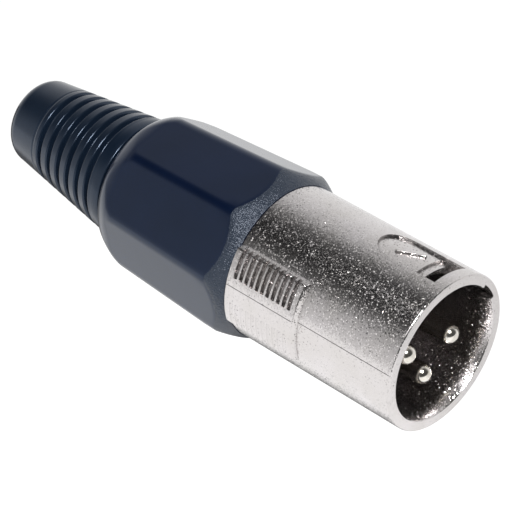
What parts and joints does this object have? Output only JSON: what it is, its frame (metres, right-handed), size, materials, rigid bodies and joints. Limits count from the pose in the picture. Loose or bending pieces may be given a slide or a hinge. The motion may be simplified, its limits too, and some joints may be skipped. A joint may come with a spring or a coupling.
{
  "type": "xlr cable plug",
  "caption": "Cable-mount male circular audio plug: metal shell with latch window and domed contacts, screw-on octagonal nut and ribbed strain relief.",
  "frame": {"origin": "centre of the shell's open rim, on the plug's axis", "axes": "+X along the plug's axis, out of the mouth; +Z is the normal of the nut's top flat, with the key 22.5 degrees from it towards +Y"},
  "size_m": [0.066, 0.0206, 0.0206],
  "materials": {
    "nickel": "satin nickel plate on die-cast zinc",
    "carrier_plastic": "black moulded",
    "contact_plate": "bright plate on turned brass",
    "spring_strip": "tinned strip",
    "clamp_plastic": "black moulded",
    "nut_plastic": "polished black moulded",
    "sleeve_rubber": "glossy soft black"
  },
  "bodies": {
    "plug_body": {"shell": "nickel", "contact_carrier": "carrier_plastic", "contact_pin_1": "contact_plate", "contact_pin_2": "contact_plate", "contact_pin_3": "contact_plate", "earth_spring": "spring_strip", "cable_clamp": "clamp_plastic"},
    "relief": {"strain_relief": "sleeve_rubber"},
    "nut": {"boot_nut": "nut_plastic"}
  },
  "joints": [
    {"name": "nut_travel", "type": "slide", "parent": "plug_body", "child": "relief", "axis": [-1, 0, 0], "range_m": [0, 0.006]},
    {"name": "nut_turn", "type": "hinge", "parent": "relief", "child": "nut", "pos_m": [-0.035, 0, 0], "axis": [-1, 0, 0], "range_deg": [0, 2160]}
  ],
  "couplings": [
    {"joint": "nut_travel", "follows": "nut_turn", "m_per_rad": 0.00015915}
  ]
}
